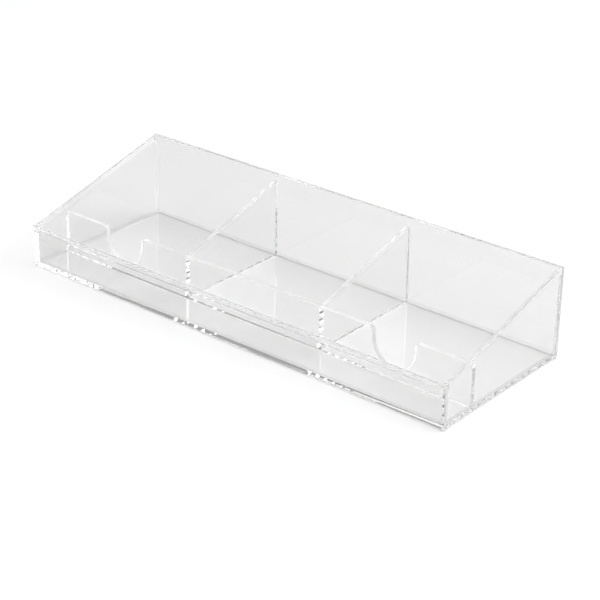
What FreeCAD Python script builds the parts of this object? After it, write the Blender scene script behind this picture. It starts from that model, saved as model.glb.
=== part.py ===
# Clear acrylic desk organizer tray with a pen trough and three compartments.
# Eight cut sheets, butted and solvent welded:
#   front_panel, back_panel        run the full width and cover the ends of the sheets between them
#   left_side_panel, right_side_panel   stand between front and back, top edge sloping up to the back
#   base_panel                     lies between the four walls, flush with their bottom edges
#   cross_wall                     low wall behind the pen trough, with two finger notches
#   left_divider, right_divider    sloped walls from the cross wall back to the back panel
# Frame: +Z up, +X along the length, -Y the low front, origin at the centre of the bottom
# face of the bounding box. Millimetres.
import FreeCAD, Part
import os
import Sketcher
from FreeCAD import Vector, Placement, Rotation

os.makedirs("parts", exist_ok=True)
doc = FreeCAD.newDocument("organizer_tray")

# ---------------------------------------------------------------- driving sizes
sheet = doc.addObject("Spreadsheet::Sheet", "Dims")
DIMS = [
    ("length_all", 330.0, "overall length along X"),
    ("depth_all", 116.0, "overall depth along Y"),
    ("height_back", 60.0, "height of the back panel"),
    ("height_front", 29.0, "height of the front panel"),
    ("thick", 3.0, "sheet thickness of every panel"),
    ("side_front", 29.0, "height of a side panel where it meets the front panel"),
    ("side_back", 59.2, "height of a side panel where it meets the back panel"),
    ("wall_front_y", 27.0, "front face of the outer front to the front face of the cross wall"),
    ("wall_top", 31.2, "height of the top edge of the cross wall"),
    ("div_offset", 54.0, "middle plane of each divider from the middle of the tray"),
    ("div_front", 31.2, "height of a divider where it meets the cross wall"),
    ("div_back", 55.4, "height of a divider where it meets the back panel"),
    ("notch_offset", 109.0, "middle of each finger notch from the middle of the tray"),
    ("notch_rad", 15.0, "radius of the half round bottom of a finger notch"),
    ("notch_centre", 24.0, "height of the centre of that half round"),
    ("notch_lip", 3.5, "radius that rounds the two mouth corners of a notch"),
    ("polish", 0.3, "bevel of the long polished edges"),
]
for i, (alias, value, note) in enumerate(DIMS, start=1):
    sheet.set("A%d" % i, note)
    sheet.set("B%d" % i, str(value))
    sheet.setAlias("B%d" % i, alias)
doc.recompute()


def val(alias):
    return float(sheet.get(alias))


def plane(body, role):
    for f in body.Origin.OriginFeatures:
        if f.Role == role:
            return f
    raise RuntimeError(role)


def new_body(label):
    b = doc.addObject("PartDesign::Body", label)
    b.Label = label
    return b


def bind(sk, cid, name, expr):
    """Name a driving constraint and tie it to the sheet."""
    sk.renameConstraint(cid, name)
    sk.setExpression("Constraints." + name, expr)


def rect_profile(body, name, x0, y0, width_expr, height_expr, w, h, role="XZ_Plane"):
    """A rectangle whose lower left corner sits on the sketch origin."""
    sk = body.newObject("Sketcher::SketchObject", name)
    sk.AttachmentSupport = (plane(body, role), [""])
    sk.MapMode = "FlatFace"
    pts = [Vector(0, 0, 0), Vector(w, 0, 0), Vector(w, h, 0), Vector(0, h, 0)]
    for i in range(4):
        sk.addGeometry(Part.LineSegment(pts[i], pts[(i + 1) % 4]), False)
    for i in range(4):
        sk.addConstraint(Sketcher.Constraint("Coincident", i, 2, (i + 1) % 4, 1))
    sk.addConstraint(Sketcher.Constraint("Horizontal", 0))
    sk.addConstraint(Sketcher.Constraint("Vertical", 1))
    sk.addConstraint(Sketcher.Constraint("Horizontal", 2))
    sk.addConstraint(Sketcher.Constraint("Vertical", 3))
    sk.addConstraint(Sketcher.Constraint("Coincident", 0, 1, -1, 1))
    c = sk.addConstraint(Sketcher.Constraint("DistanceX", 0, 1, 0, 2, w))
    bind(sk, c, "runLength", width_expr)
    c = sk.addConstraint(Sketcher.Constraint("DistanceY", 1, 1, 1, 2, h))
    bind(sk, c, "riseLength", height_expr)
    return sk


def slope_profile(body, name, depth, low, high, depth_expr, low_expr, high_expr):
    """Four sided profile: flat foot, short front edge, sloping top, tall back edge."""
    sk = body.newObject("Sketcher::SketchObject", name)
    sk.AttachmentSupport = (plane(body, "YZ_Plane"), [""])
    sk.MapMode = "FlatFace"
    pts = [Vector(0, 0, 0), Vector(depth, 0, 0), Vector(depth, high, 0), Vector(0, low, 0)]
    for i in range(4):
        sk.addGeometry(Part.LineSegment(pts[i], pts[(i + 1) % 4]), False)
    for i in range(4):
        sk.addConstraint(Sketcher.Constraint("Coincident", i, 2, (i + 1) % 4, 1))
    sk.addConstraint(Sketcher.Constraint("Horizontal", 0))
    sk.addConstraint(Sketcher.Constraint("Vertical", 1))
    sk.addConstraint(Sketcher.Constraint("Vertical", 3))
    sk.addConstraint(Sketcher.Constraint("Coincident", 0, 1, -1, 1))
    c = sk.addConstraint(Sketcher.Constraint("DistanceX", 0, 1, 0, 2, depth))
    bind(sk, c, "runLength", depth_expr)
    c = sk.addConstraint(Sketcher.Constraint("DistanceY", 1, 1, 1, 2, high))
    bind(sk, c, "tallEnd", high_expr)
    c = sk.addConstraint(Sketcher.Constraint("DistanceY", 0, 1, 2, 2, low))
    bind(sk, c, "shortEnd", low_expr)
    return sk


def pad(body, sk, name, length_expr, reverse=False):
    p = body.newObject("PartDesign::Pad", name)
    p.Profile = sk
    p.Reversed = reverse
    p.setExpression("Length", length_expr)
    body.Tip = p
    doc.recompute()
    return p


def bevel(body, base, name, picker):
    """A fine 45 degree polish bevel along the picked straight edges."""
    names = []
    for i, e in enumerate(base.Shape.Edges, start=1):
        if len(e.Vertexes) != 2:
            continue
        if picker(e.Vertexes[0].Point, e.Vertexes[1].Point, e):
            names.append("Edge%d" % i)
    if not names:
        raise RuntimeError("no edges for " + name)
    before = base.Shape.Volume
    c = body.newObject("PartDesign::Chamfer", name)
    c.Base = (base, names)
    c.setExpression("Size", "Dims.polish")
    body.Tip = c
    doc.recompute()
    if not c.Shape.Volume < before:
        raise RuntimeError("bevel cut nothing: " + name)
    return c


T = val("thick")
L = val("length_all")
D = val("depth_all")
HB = val("height_back")
HF = val("height_front")
eps = 1e-4

bodies = []

# ---------------------------------------------------------------- front panel
b = new_body("front_panel")
sk = rect_profile(b, "front_outline", 0, 0, "Dims.length_all", "Dims.height_front", L, HF)
p = pad(b, sk, "front_sheet", "Dims.thick")
# the XZ plane looks along -Y, so the pad runs towards -Y; the body is set back by one thickness
ymin = p.Shape.BoundBox.YMin


def front_pick(a, c, e):
    # the two long top edges, the two long outer upright edges and the long outer bottom edge
    along_x = abs(a.x - c.x) > L - 1
    top = abs(a.z - HF) < eps and abs(c.z - HF) < eps
    bottom = abs(a.z) < eps and abs(c.z) < eps
    outer = abs(a.y - ymin) < eps and abs(c.y - ymin) < eps
    upright = abs(a.x - c.x) < eps and abs(a.y - c.y) < eps
    return (along_x and top) or (along_x and bottom and outer) or (upright and outer)


bevel(b, p, "front_polish", front_pick)
b.setExpression("Placement.Base.x", "-Dims.length_all / 2")
b.setExpression("Placement.Base.y", "-Dims.depth_all / 2 + Dims.thick")
bodies.append(b)

# ---------------------------------------------------------------- back panel
b = new_body("back_panel")
sk = rect_profile(b, "back_outline", 0, 0, "Dims.length_all", "Dims.height_back", L, HB)
p = pad(b, sk, "back_sheet", "Dims.thick")
ymax = p.Shape.BoundBox.YMax


def back_pick(a, c, e):
    along_x = abs(a.x - c.x) > L - 1
    top = abs(a.z - HB) < eps and abs(c.z - HB) < eps
    bottom = abs(a.z) < eps and abs(c.z) < eps
    outer = abs(a.y - ymax) < eps and abs(c.y - ymax) < eps
    upright = abs(a.x - c.x) < eps and abs(a.y - c.y) < eps
    return (along_x and top) or (along_x and bottom and outer) or (upright and outer)


bevel(b, p, "back_polish", back_pick)
b.setExpression("Placement.Base.x", "-Dims.length_all / 2")
b.setExpression("Placement.Base.y", "Dims.depth_all / 2")
bodies.append(b)

# ---------------------------------------------------------------- side panels
SF = val("side_front")
SB = val("side_back")
for label, base_x, outer_low in (("left_side_panel", "-Dims.length_all / 2", True),
                                 ("right_side_panel", "Dims.length_all / 2 - Dims.thick", False)):
    b = new_body(label)
    sk = slope_profile(b, label + "_outline", D - 2 * T, SF, SB,
                       "Dims.depth_all - 2 * Dims.thick", "Dims.side_front", "Dims.side_back")
    p = pad(b, sk, label + "_sheet", "Dims.thick")

    def side_pick(a, c, e, outer_low=outer_low):
        sloped = abs(a.y - c.y) > D - 2 * T - 1 and min(a.z, c.z) > SF - 1
        foot = abs(a.y - c.y) > D - 2 * T - 1 and max(a.z, c.z) < eps
        outer_x = 0.0 if outer_low else T
        outer = abs(a.x - outer_x) < eps and abs(c.x - outer_x) < eps
        return sloped or (foot and outer)

    bevel(b, p, label + "_polish", side_pick)
    b.setExpression("Placement.Base.x", base_x)
    b.setExpression("Placement.Base.y", "-Dims.depth_all / 2 + Dims.thick")
    bodies.append(b)

# ---------------------------------------------------------------- base panel
b = new_body("base_panel")
sk = rect_profile(b, "base_outline", 0, 0, "Dims.length_all - 2 * Dims.thick",
                  "Dims.depth_all - 2 * Dims.thick", L - 2 * T, D - 2 * T, role="XY_Plane")
p = pad(b, sk, "base_sheet", "Dims.thick")
b.setExpression("Placement.Base.x", "-Dims.length_all / 2 + Dims.thick")
b.setExpression("Placement.Base.y", "-Dims.depth_all / 2 + Dims.thick")
bodies.append(b)

# ---------------------------------------------------------------- cross wall
WT = val("wall_top")
R = val("notch_rad")
ZC = val("notch_centre")
b = new_body("cross_wall")
sk = rect_profile(b, "wall_outline", 0, 0, "Dims.length_all - 2 * Dims.thick",
                  "Dims.wall_top - Dims.thick", L - 2 * T, WT - T)
p = pad(b, sk, "wall_sheet", "Dims.thick")
full = p.Shape.Volume
for side, sign in (("left", -1), ("right", 1)):
    xc = (L - 2 * T) / 2 + sign * val("notch_offset")
    zc = ZC - T
    top = WT - T + 2.0
    sk = b.newObject("Sketcher::SketchObject", side + "_notch_outline")
    sk.AttachmentSupport = (plane(b, "XZ_Plane"), [""])
    sk.MapMode = "FlatFace"
    sk.addGeometry(Part.ArcOfCircle(Part.Circle(Vector(xc, zc, 0), Vector(0, 0, 1), R),
                                    3.141592653589793, 2 * 3.141592653589793), False)   # 0
    sk.addGeometry(Part.LineSegment(Vector(xc + R, zc, 0), Vector(xc + R, top, 0)), False)  # 1
    sk.addGeometry(Part.LineSegment(Vector(xc + R, top, 0), Vector(xc - R, top, 0)), False)  # 2
    sk.addGeometry(Part.LineSegment(Vector(xc - R, top, 0), Vector(xc - R, zc, 0)), False)  # 3
    sk.addConstraint(Sketcher.Constraint("Tangent", 0, 2, 1, 1))
    sk.addConstraint(Sketcher.Constraint("Coincident", 1, 2, 2, 1))
    sk.addConstraint(Sketcher.Constraint("Coincident", 2, 2, 3, 1))
    sk.addConstraint(Sketcher.Constraint("Tangent", 3, 2, 0, 1))
    sk.addConstraint(Sketcher.Constraint("Vertical", 1))
    sk.addConstraint(Sketcher.Constraint("Horizontal", 2))
    sk.addConstraint(Sketcher.Constraint("Vertical", 3))
    c = sk.addConstraint(Sketcher.Constraint("Radius", 0, R))
    bind(sk, c, "bottomRadius", "Dims.notch_rad")
    c = sk.addConstraint(Sketcher.Constraint("DistanceX", -1, 1, 0, 3, xc))
    bind(sk, c, "centreAcross", "Dims.length_all / 2 - Dims.thick %s Dims.notch_offset"
         % ("-" if sign < 0 else "+"))
    c = sk.addConstraint(Sketcher.Constraint("DistanceY", -1, 1, 0, 3, zc))
    bind(sk, c, "centreUp", "Dims.notch_centre - Dims.thick")
    c = sk.addConstraint(Sketcher.Constraint("DistanceY", -1, 1, 1, 2, top))
    bind(sk, c, "topPast", "Dims.wall_top - Dims.thick + 2")
    k = b.newObject("PartDesign::Pocket", side + "_notch")
    k.Profile = sk
    k.Type = "ThroughAll"
    k.Reversed = True
    b.Tip = k
    doc.recompute()
    want = (3.141592653589793 * R * R / 2 + 2 * R * (WT - ZC)) * T
    cut = full - k.Shape.Volume
    if abs(cut - want) > 1.0:
        raise RuntimeError("%s notch removed %.1f, expected %.1f" % (side, cut, want))
    full = k.Shape.Volume
# rounded mouth corners of both notches
names = []
for i, e in enumerate(k.Shape.Edges, start=1):
    if len(e.Vertexes) != 2:
        continue
    a, c = e.Vertexes[0].Point, e.Vertexes[1].Point
    across_y = abs(a.y - c.y) > T - eps and abs(a.x - c.x) < eps and abs(a.z - c.z) < eps
    inner = 1.0 < a.x < L - 2 * T - 1.0
    if across_y and inner and abs(a.z - (WT - T)) < eps:
        names.append("Edge%d" % i)
if len(names) != 4:
    raise RuntimeError("mouth corners found: %d" % len(names))
f = b.newObject("PartDesign::Fillet", "notch_lips")
f.Base = (k, names)
f.setExpression("Radius", "Dims.notch_lip")
b.Tip = f
doc.recompute()
names = []
for i, e in enumerate(f.Shape.Edges, start=1):
    if len(e.Vertexes) != 2:
        continue
    a, c = e.Vertexes[0].Point, e.Vertexes[1].Point
    if abs(a.y - c.y) < eps and min(a.z, c.z) > WT - T - eps and abs(a.x - c.x) > 5:
        names.append("Edge%d" % i)
ch = b.newObject("PartDesign::Chamfer", "wall_polish")
ch.Base = (f, names)
ch.setExpression("Size", "Dims.polish")
b.Tip = ch
doc.recompute()
b.setExpression("Placement.Base.x", "-Dims.length_all / 2 + Dims.thick")
b.setExpression("Placement.Base.y", "-Dims.depth_all / 2 + Dims.wall_front_y + Dims.thick")
b.setExpression("Placement.Base.z", "Dims.thick")
bodies.append(b)

# ---------------------------------------------------------------- dividers
WF = val("wall_front_y")
run = D - 2 * T - WF
DF = val("div_front")
DB = val("div_back")
for label, sign in (("left_divider", "-"), ("right_divider", "+")):
    b = new_body(label)
    sk = slope_profile(b, label + "_outline", run, DF - T, DB - T,
                       "Dims.depth_all - 2 * Dims.thick - Dims.wall_front_y",
                       "Dims.div_front - Dims.thick", "Dims.div_back - Dims.thick")
    p = pad(b, sk, label + "_sheet", "Dims.thick")

    def div_pick(a, c, e):
        return abs(a.y - c.y) > run - 1 and min(a.z, c.z) > DF - T - 1

    bevel(b, p, label + "_polish", div_pick)
    b.setExpression("Placement.Base.x", "%sDims.div_offset - Dims.thick / 2"
                    % ("-" if sign == "-" else ""))
    b.setExpression("Placement.Base.y", "-Dims.depth_all / 2 + Dims.wall_front_y + Dims.thick")
    b.setExpression("Placement.Base.z", "Dims.thick")
    bodies.append(b)

doc.recompute()

# ---------------------------------------------------------------- checks and export
bad = []
for o in doc.Objects:
    if any(word in ("Invalid", "Error") for word in o.State):
        bad.append("%s %s" % (o.Label, o.State))
if bad:
    raise RuntimeError("failed objects: " + "; ".join(bad))
total = 0.0
for b in bodies:
    s = b.Shape
    if s.isNull() or not s.isValid() or len(s.Solids) != 1:
        raise RuntimeError("bad shape: " + b.Label)
    bb = s.BoundBox
    total += s.Volume
    print("%-18s vol %9.1f  x %7.2f..%7.2f  y %7.2f..%7.2f  z %6.2f..%6.2f"
          % (b.Label, s.Volume, bb.XMin, bb.XMax, bb.YMin, bb.YMax, bb.ZMin, bb.ZMax))
    s.exportStep("parts/%s.step" % b.Label)
print("total volume %.1f mm3, mass at 1190 kg/m3: %.3f kg" % (total, total * 1190e-9))
for i in range(len(bodies)):
    for j in range(i + 1, len(bodies)):
        common = bodies[i].Shape.common(bodies[j].Shape)
        if common.Volume > 1e-3:
            raise RuntimeError("overlap %s %s %.3f" % (bodies[i].Label, bodies[j].Label, common.Volume))
print("no overlaps between the %d sheets" % len(bodies))
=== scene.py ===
import math
import bmesh
import bpy
from mathutils import Matrix, Vector
from mathutils.bvhtree import BVHTree


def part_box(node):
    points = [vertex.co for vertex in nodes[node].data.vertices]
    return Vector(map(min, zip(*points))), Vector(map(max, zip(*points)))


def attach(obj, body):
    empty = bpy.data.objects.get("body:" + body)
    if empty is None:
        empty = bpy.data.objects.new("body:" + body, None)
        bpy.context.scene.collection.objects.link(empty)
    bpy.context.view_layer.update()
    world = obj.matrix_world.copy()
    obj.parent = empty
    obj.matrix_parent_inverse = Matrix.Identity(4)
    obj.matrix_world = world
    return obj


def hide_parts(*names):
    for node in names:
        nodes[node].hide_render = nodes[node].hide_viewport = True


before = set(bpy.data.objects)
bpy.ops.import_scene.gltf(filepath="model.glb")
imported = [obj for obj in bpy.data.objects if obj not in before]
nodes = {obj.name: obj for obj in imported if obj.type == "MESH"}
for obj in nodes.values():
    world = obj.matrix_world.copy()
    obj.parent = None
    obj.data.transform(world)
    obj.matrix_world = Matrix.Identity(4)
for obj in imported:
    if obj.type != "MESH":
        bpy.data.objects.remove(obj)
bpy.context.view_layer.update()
scene = bpy.context.scene
NAMES = sorted(nodes)

# ------------------------------------------------------------ camera
cam_data = bpy.data.cameras.new("camera")
cam = bpy.data.objects.new("camera", cam_data)
scene.collection.objects.link(cam)
cam_data.sensor_width = 36.0
cam_data.lens = 1782.74 * 36.0 / 600.0
cam_data.clip_start, cam_data.clip_end = 0.05, 50.0
yaw, pitch, roll = (math.radians(v) for v in (-39.546, 26.084, 0.725))
fwd = Vector((math.sin(yaw) * math.cos(pitch), math.cos(yaw) * math.cos(pitch), -math.sin(pitch)))
right = fwd.cross(Vector((0, 0, 1))).normalized()
up = right.cross(fwd).normalized()
r2 = math.cos(roll) * right + math.sin(roll) * up
u2 = -math.sin(roll) * right + math.cos(roll) * up
m = Matrix((r2, u2, -fwd)).transposed().to_4x4()
m.translation = Vector((0.810998 - 0.165, -0.708359 - 0.058, 0.497416))
cam.matrix_world = m
scene.camera = cam


# ------------------------------------------------------------ materials
def glass(name, tint, rough, spots):
    """Clear acrylic. spots: (kind, scale, stretch, height in metres) layers of surface relief."""
    mat = bpy.data.materials.new(name)
    mat.use_nodes = True
    nt = mat.node_tree
    bsdf = nt.nodes["Principled BSDF"]
    bsdf.inputs["Base Color"].default_value = tint
    bsdf.inputs["Transmission Weight"].default_value = 1.0
    bsdf.inputs["IOR"].default_value = 1.49
    bsdf.inputs["Roughness"].default_value = rough
    tc = nt.nodes.new("ShaderNodeTexCoord")
    last = None
    for kind, scale, stretch, height in spots:
        mp = nt.nodes.new("ShaderNodeMapping")
        mp.inputs["Scale"].default_value = stretch
        nt.links.new(tc.outputs["Object"], mp.inputs[0])
        if kind == "noise":
            tx = nt.nodes.new("ShaderNodeTexNoise")
            tx.inputs["Scale"].default_value = scale
            tx.inputs["Detail"].default_value = 2.0
            fac = tx.outputs[0]
        elif kind == "hair":
            tx = nt.nodes.new("ShaderNodeTexNoise")
            tx.inputs["Scale"].default_value = scale
            tx.inputs["Detail"].default_value = 3.0
            mr = nt.nodes.new("ShaderNodeMapRange")
            mr.inputs["From Min"].default_value = 0.66
            mr.inputs["From Max"].default_value = 0.74
            nt.links.new(tx.outputs[0], mr.inputs[0])
            fac = mr.outputs[0]
        else:
            tx = nt.nodes.new("ShaderNodeTexWave")
            tx.inputs["Scale"].default_value = scale
            tx.inputs["Distortion"].default_value = 1.5
            tx.inputs["Detail"].default_value = 2.0
            fac = tx.outputs["Fac"]
        nt.links.new(mp.outputs[0], tx.inputs["Vector"])
        bp = nt.nodes.new("ShaderNodeBump")
        bp.inputs["Strength"].default_value = 1.0
        bp.inputs["Distance"].default_value = height
        nt.links.new(fac, bp.inputs["Height"])
        if last is not None:
            nt.links.new(last, bp.inputs["Normal"])
        last = bp.outputs[0]
    if last is not None:
        nt.links.new(last, bsdf.inputs["Normal"])
    return mat


def weld_material(name):
    mat = bpy.data.materials.new(name)
    mat.use_nodes = True
    nt = mat.node_tree
    nt.nodes.remove(nt.nodes["Principled BSDF"])
    tr = nt.nodes.new("ShaderNodeBsdfTransparent")
    nt.links.new(tr.outputs[0], nt.nodes["Material Output"].inputs[0])
    return mat


WELD = weld_material("solvent_weld")
FACE_, WELD_, EDGE_, SAWN_, SEAM_, TOP_, PAINTED_SHADE_, END_ = range(8)


def frosted(mat, clear):
    """A saw-cut surface: part of the light goes through, the rest is scattered by the cut."""
    mat.node_tree.nodes["Principled BSDF"].inputs["Transmission Weight"].default_value = clear
    return mat


def kit(tag, sheet_tint_and_painted_shade, edge=0.14, top=0.3):
    """One set of surfaces for a group of sheets: the same acrylic, worked differently. Its grey is the acrylic's tint,
    lowered on some sheets as painted shade.
    """
    body = (sheet_tint_and_painted_shade, sheet_tint_and_painted_shade, sheet_tint_and_painted_shade, 1)
    # Painted shade: the strips along the floor-wall joints take this grey, 0.88 of the sheet's, as a painted contact
    # shade.
    joint_shade_grey = (sheet_tint_and_painted_shade * 0.88, sheet_tint_and_painted_shade * 0.88, sheet_tint_and_painted_shade * 0.88, 1)
    return [
        glass(tag + "_face", body, 0.0, [("noise", 18.0, (1, 1, 1), 0.0000005), ("hair", 90.0, (6, 0.35, 6), 0.0000003)]),
        WELD,
        glass(tag + "_polished_edge", body, edge, [("noise", 260.0, (1, 1, 1), 0.0000008)]),
        frosted(glass(tag + "_sawn_edge", body, 0.45, [("wave", 220.0, (1, 1, 0.2), 0.00002)]), 0.4),
        glass(tag + "_cement_line", body, 0.05, [("noise", 700.0, (1, 1, 1), 0.0000003)]),
        glass(tag + "_flamed_top", body, top, [("noise", 120.0, (1, 1, 1), 0.0000003)]),
        # painted contact shade along the floor-wall joints, also rougher than the face
        glass(tag + "_painted_joint_shade", joint_shade_grey, 0.2, [("noise", 500.0, (1, 1, 1), 0.0000003)]),
        glass(tag + "_sanded_end", body, 0.45, [("wave", 220.0, (1, 1, 0.2), 0.00002)]),
    ]


# Painted shade: 0.965 is the acrylic's own tint (base, cross wall, dividers); the lower greys on the four outer panels
# darken them as painted shade, most at the back and left, though all are one acrylic.
KITS = {"front_panel": kit("front", 0.88, 0.14, 0.5), "back_panel": kit("back", 0.79, 0.14, 0.5), "left_side_panel": kit("left", 0.80),
        "right_side_panel": kit("right", 0.94), "base_panel": kit("base", 0.965),
        "cross_wall": kit("cross_wall", 0.965, 0.3, 0.55), "left_divider": kit("divider", 0.965)}
KITS["right_divider"] = KITS["left_divider"]

# ------------------------------------------------------------ sheets
boxes = {n: (Vector(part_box(n)[0]), Vector(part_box(n)[1])) for n in NAMES}
SEAM_W = 0.0005


def tree_of(name):
    bm = bmesh.new()
    bm.from_mesh(nodes[name].data)
    bm.transform(nodes[name].matrix_world)
    bmesh.ops.remove_doubles(bm, verts=bm.verts, dist=1e-6)
    t = BVHTree.FromBMesh(bm)
    bm.free()
    return t


trees = {n: tree_of(n) for n in NAMES}


def inside(name, p):
    lo, hi = boxes[name]
    if any(p[i] < lo[i] or p[i] > hi[i] for i in range(3)):
        return False
    d, hits, q = Vector((0.3141, 0.2718, 0.9094)).normalized(), 0, p.copy()
    while True:
        loc = trees[name].ray_cast(q, d)[0]
        if loc is None:
            return hits % 2 == 1
        hits += 1
        q = loc + d * 1e-6


def thin_axis(name):
    lo, hi = boxes[name]
    return min(range(3), key=lambda i: hi[i] - lo[i])


# name: thin axis, inner face, which way the inner face looks, how deep the lip is worked back
RIM = {"front_panel": (1, -0.055, 1, 0.0024), "back_panel": (1, 0.055, -1, 0.0008),
       "left_side_panel": (0, -0.162, 1, 0.002), "right_side_panel": (0, 0.162, -1, 0.0)}
RIM_TALL, RIM_STEPS = 0.0065, 24
SLOPE = (0.0592 - 0.029) / 0.110


def round_rim(bm, name):
    """Flame-rounded lip: the face towards the trays falls away from the sheet near the top edge."""
    axis, plane, side, deep = RIM[name]

    def top(y):
        return 0.029 if name == "front_panel" else 0.060 if name == "back_panel" else 0.029 + (y + 0.055) * SLOPE

    n = Vector((0, -SLOPE if axis == 0 else 0, 1)).normalized()
    for i in range(RIM_STEPS):
        d = RIM_TALL * (1 - i / RIM_STEPS)
        co = Vector((0, -0.055, top(-0.055) - d))
        bmesh.ops.bisect_plane(bm, geom=bm.verts[:] + bm.edges[:] + bm.faces[:], dist=1e-7,
                               plane_co=co, plane_no=n)
    for pl, sg in [(plane, side)]:
        for v in bm.verts:
            d = top(v.co.y) - v.co.z
            if abs(v.co[axis] - pl) < 0.00035 and d < RIM_TALL - 1e-7:
                u = 1 - max(d, 0) / RIM_TALL
                v.co[axis] -= sg * deep * (u * u if axis == 0 else 1 - math.sqrt(max(0.0, 1 - u * u)))


def lip_from(name, y):
    """Height on the sheet where the lip starts, a hair low."""
    top = 0.029 if name == "front_panel" else 0.060 if name == "back_panel" else 0.029 + (y + 0.055) * SLOPE
    return top - RIM_TALL * 1.05


def build(name):
    bm = bmesh.new()
    bm.from_mesh(nodes[name].data)
    bm.transform(nodes[name].matrix_world)
    bmesh.ops.remove_doubles(bm, verts=bm.verts, dist=1e-6)
    bmesh.ops.dissolve_limit(bm, angle_limit=math.radians(0.5), verts=bm.verts, edges=bm.edges)
    lo, hi = boxes[name]
    others = []
    for other in NAMES:
        if other == name:
            continue
        olo, ohi = boxes[other]
        if any(olo[i] > hi[i] + 1e-5 or ohi[i] < lo[i] - 1e-5 for i in range(3)):
            continue
        others.append(other)
        for axis in range(3):
            if axis == thin_axis(name):
                continue
            for v in (olo[axis], ohi[axis], olo[axis] - SEAM_W, ohi[axis] + SEAM_W):
                if lo[axis] + 1e-5 < v < hi[axis] - 1e-5:
                    co = Vector((0, 0, 0))
                    co[axis] = v
                    no = Vector((0, 0, 0))
                    no[axis] = 1
                    bmesh.ops.bisect_plane(bm, geom=bm.verts[:] + bm.edges[:] + bm.faces[:], dist=1e-7,
                                           plane_co=co, plane_no=no)
    ax = thin_axis(name)
    zone = boxes["base_panel"]
    if name in RIM:
        cuts = [(2, zone[1][2] + 0.0022)]
    elif name == "base_panel":
        cuts = [(0, zone[0][0] + 0.0022), (0, zone[1][0] - 0.0022), (1, zone[0][1] + 0.0022), (1, zone[1][1] - 0.0022)]
    else:
        cuts = []
    for axis, v in cuts:
        co, no = Vector((0, 0, 0)), Vector((0, 0, 0))
        co[axis], no[axis] = v, 1
        bmesh.ops.bisect_plane(bm, geom=bm.verts[:] + bm.edges[:] + bm.faces[:], dist=1e-7,
                               plane_co=co, plane_no=no)
    if name in RIM and RIM[name][3] > 0:
        round_rim(bm, name)
    bm.normal_update()
    for f in bm.faces:
        c = f.calc_center_median()
        n = f.normal
        p = c + n * 5e-5
        if any(inside(o, p) for o in others):
            f.material_index = WELD_
        elif n.z < -0.9 and c.z < 0.001 and name != "base_panel":
            f.material_index = SAWN_
        elif abs(n.x) > 0.9 and ax == 1 and name in RIM:
            f.material_index = END_
        elif abs(n[ax]) < 0.2 and n.z > 0.3:
            f.material_index = TOP_
        elif abs(n[ax]) < 0.9:
            f.material_index = EDGE_
        # Painted shade: the strip of floor along the walls and the foot of each wall get the darker joint material.
        elif name == "base_panel" and n.z > 0.9 and not (
                zone[0][0] + 0.0022 < c.x < zone[1][0] - 0.0022 and zone[0][1] + 0.0022 < c.y < zone[1][1] - 0.0022):
            f.material_index = PAINTED_SHADE_
        elif name in RIM and zone[1][2] < c.z < zone[1][2] + 0.0022 and n[ax] * RIM[name][2] > 0.9:
            f.material_index = PAINTED_SHADE_
        else:
            # next to a joint: inside the strip that the cement wets
            near = False
            for o in others:
                for i in range(3):
                    if i == ax:
                        continue
                    for s in (-1, 1):
                        q = p.copy()
                        q[i] += s * SEAM_W
                        near = near or inside(o, q)
            f.material_index = SEAM_ if near else FACE_
        # the worked-back lip is one smooth curve; everything else is flat sheet
        f.smooth = name in RIM and 0.05 < abs(n[ax]) < 0.99995 and n[ax] * RIM[name][2] > 0 and c.z > lip_from(name, c.y)
    me = bpy.data.meshes.new(name + "_sheet")
    bm.to_mesh(me)
    bm.free()
    for mt in KITS[name]:
        me.materials.append(mt)
    ob = bpy.data.objects.new(name + "_sheet", me)
    scene.collection.objects.link(ob)
    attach(ob, "root")
    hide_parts(name)
    count = [sum(1 for p in me.polygons if p.material_index == k) for k in range(8)]
    print(name, "faces", len(me.polygons), "face/weld/edge/sawn/seam/top/shade_strip/end", count)
    return ob


for n in NAMES:
    build(n)

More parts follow.
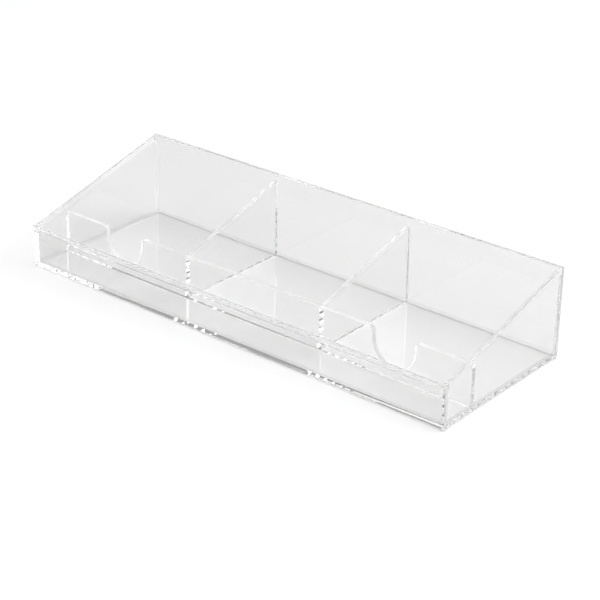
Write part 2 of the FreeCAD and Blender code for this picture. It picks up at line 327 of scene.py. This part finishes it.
# ------------------------------------------------------------ stage
bpy.ops.mesh.primitive_plane_add(size=8.0, location=(0, 0, -0.0002))
floor = bpy.context.active_object
floor.name = "floor"
fm = bpy.data.materials.new("floor_paper")
fm.use_nodes = True
fm.node_tree.nodes["Principled BSDF"].inputs["Base Color"].default_value = (0.88, 0.88, 0.88, 1)
fm.node_tree.nodes["Principled BSDF"].inputs["Roughness"].default_value = 0.9
fm.node_tree.nodes["Principled BSDF"].inputs["Specular IOR Level"].default_value = 0.2
floor.data.materials.append(fm)

world = bpy.data.worlds.new("world")
scene.world = world
world.use_nodes = True
wn = world.node_tree
tc = wn.nodes.new("ShaderNodeTexCoord")
sep = wn.nodes.new("ShaderNodeSeparateXYZ")
ramp = wn.nodes.new("ShaderNodeValToRGB")
wn.links.new(tc.outputs["Generated"], sep.inputs[0])
wn.links.new(sep.outputs[2], ramp.inputs[0])
wn.links.new(ramp.outputs[0], wn.nodes["Background"].inputs[0])
cr = ramp.color_ramp
SKY = [(0.0, 0.9), (0.22, 0.9), (0.38, 0.48), (0.62, 0.48), (0.8, 1.75), (1.0, 1.75)]
cr.elements[0].position, cr.elements[0].color = SKY[0][0], (SKY[0][1],) * 3 + (1,)
cr.elements[1].position, cr.elements[1].color = SKY[-1][0], (SKY[-1][1],) * 3 + (1,)
for pos, v in SKY[1:-1]:
    e = cr.elements.new(pos)
    e.color = (v, v, v, 1)
wn.nodes["Background"].inputs[1].default_value = 0.86


def area(name, loc, target, size, power):
    d = bpy.data.lights.new(name, "AREA")
    d.shape = "RECTANGLE"
    d.size, d.size_y = size
    d.energy = power
    o = bpy.data.objects.new(name, d)
    o.location = loc
    o.rotation_euler = (Vector(target) - Vector(loc)).to_track_quat("-Z", "Y").to_euler()
    scene.collection.objects.link(o)
    return o


area("soft_right", (1.2, 0.9, 0.9), (0.1, 0, 0), (1.6, 1.6), 19)

scene.view_settings.view_transform = "Standard"
scene.cycles.blur_glossy = 0.0
scene.cycles.max_bounces = 96
scene.cycles.transmission_bounces = 96
scene.cycles.transparent_max_bounces = 96
scene.cycles.glossy_bounces = 96
